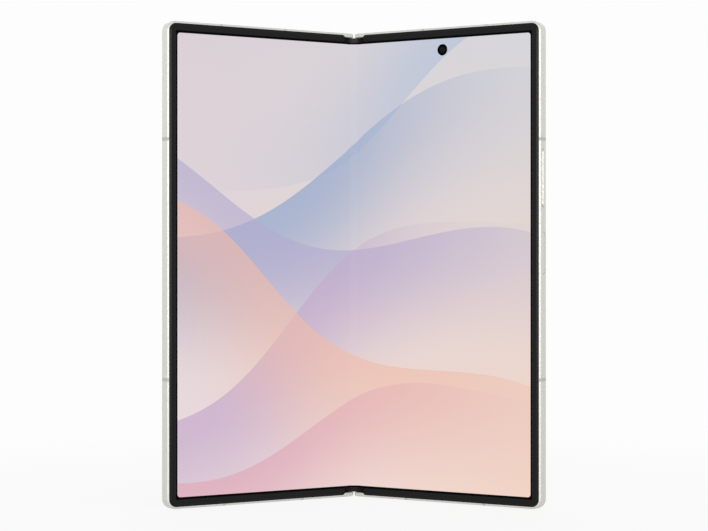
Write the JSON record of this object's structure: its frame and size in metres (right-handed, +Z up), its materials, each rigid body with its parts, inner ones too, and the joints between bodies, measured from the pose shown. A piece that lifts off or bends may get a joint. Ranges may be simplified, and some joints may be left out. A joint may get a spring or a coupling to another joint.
{
  "type": "foldable smartphone",
  "caption": "Book-style foldable smartphone, half open with its inner screen lit; two thin halves fold on a geared spine hinge.",
  "frame": {"origin": "bottom edges on z = 0, under the middle of the whole model", "axes": "+Z up the hinge; +X to the right and +Y away as seen by someone facing the inner screen"},
  "size_m": [0.1248, 0.0412, 0.1584],
  "materials": {
    "white_frame": "bead-blasted, anodised",
    "spine_metal": "brushed, anodised",
    "antenna_plastic": "moulded, satin",
    "bezel_trim": "matt black elastomer",
    "cap_plastic": "matt black",
    "screen": "lit screen under gloss film",
    "cover_glass_black": "gloss black",
    "rear_glass_white": "etched satin white",
    "lens_glass": "coated gloss black",
    "camera_black": "matt black",
    "steel_parts": "stamped and tumbled",
    "bright_steel": "bright",
    "gear_brass": "hobbed",
    "circuit_board": "solder mask",
    "battery_wrap": "pouch foil",
    "polyimide": "amber film",
    "speaker_plastic": "moulded",
    "coil_copper": "enamelled copper",
    "flash_lens": "clear moulded"
  },
  "bodies": {
    "hinge_spine": {"hinge_spine_cover": "spine_metal", "hinge_brackets": "steel_parts", "hinge_end_caps": "cap_plastic", "hinge_idler_pins": "bright_steel", "hinge_screws": "steel_parts", "hinge_flex_cables": "polyimide", "display_crease": "screen"},
    "left_half": {"left_frame": "white_frame", "left_antenna_breaks": "antenna_plastic", "left_bezel": "bezel_trim", "left_display_panel": "screen", "left_support_plate": "steel_parts", "left_battery": "battery_wrap", "left_circuit_board": "circuit_board", "left_hinge_arms": "steel_parts", "left_screws": "steel_parts", "cover_glass": "cover_glass_black", "cover_display_panel": "cover_glass_black", "cover_camera": "camera_black", "cover_earpiece": "camera_black", "haptic_motor": "bright_steel", "top_speaker": "speaker_plastic", "sim_reader": "bright_steel"},
    "right_half": {"right_frame": "white_frame", "right_antenna_breaks": "antenna_plastic", "right_bezel": "bezel_trim", "right_display_panel": "screen", "right_support_plate": "steel_parts", "right_battery": "battery_wrap", "main_board": "circuit_board", "board_shields": "bright_steel", "rear_glass": "rear_glass_white", "camera_island": "white_frame", "camera_rings": "white_frame", "camera_lens_covers": "lens_glass", "camera_modules": "camera_black", "camera_flash": "flash_lens", "inner_camera": "camera_black", "usb_c_receptacle": "bright_steel", "usb_board": "circuit_board", "loudspeaker": "speaker_plastic", "charging_coil": "coil_copper", "right_hinge_arms": "steel_parts", "right_screws": "steel_parts", "side_key_flex": "polyimide"},
    "volume_key": {"volume_key": "white_frame"},
    "power_key": {"power_key": "white_frame"},
    "sim_tray": {"sim_tray": "white_frame"},
    "left_idlers": {"left_idler_gears": "gear_brass"},
    "right_idlers": {"right_idler_gears": "gear_brass"}
  },
  "joints": [
    {"name": "left_fold", "type": "hinge", "parent": "hinge_spine", "child": "left_half", "pos_m": [-0.0013, 0.01746, 0], "axis": [0, 0, 1], "range_deg": [-32, 58], "deforming": ["display_crease", "hinge_flex_cables"]},
    {"name": "right_fold", "type": "hinge", "parent": "hinge_spine", "child": "right_half", "pos_m": [0.0013, 0.01746, 0], "axis": [0, 0, 1], "range_deg": [-58, 32]},
    {"name": "left_idler_spin", "type": "hinge", "parent": "hinge_spine", "child": "left_idlers", "pos_m": [-0.0005, 0.01873, 0], "axis": [0, 0, 1], "range_deg": [-116, 64]},
    {"name": "right_idler_spin", "type": "hinge", "parent": "hinge_spine", "child": "right_idlers", "pos_m": [0.0005, 0.01873, 0], "axis": [0, 0, 1], "range_deg": [-64, 116]},
    {"name": "volume_press", "type": "slide", "parent": "right_half", "child": "volume_key", "axis": [-0.848, 0.5299, 0], "range_m": [0, 0.00025], "stiffness_N_per_m": 2400, "springref_m": -0.0002},
    {"name": "power_press", "type": "slide", "parent": "right_half", "child": "power_key", "axis": [-0.848, 0.5299, 0], "range_m": [0, 0.00025], "stiffness_N_per_m": 2400, "springref_m": -0.0002},
    {"name": "tray_slide", "type": "slide", "parent": "left_half", "child": "sim_tray", "axis": [0, 0, 1], "range_m": [0, 0.0225]}
  ],
  "couplings": [
    {"joint": "right_fold", "follows": "left_fold", "ratio": -1},
    {"joint": "left_idler_spin", "follows": "left_fold", "ratio": -2},
    {"joint": "right_idler_spin", "follows": "left_fold", "ratio": 2}
  ]
}
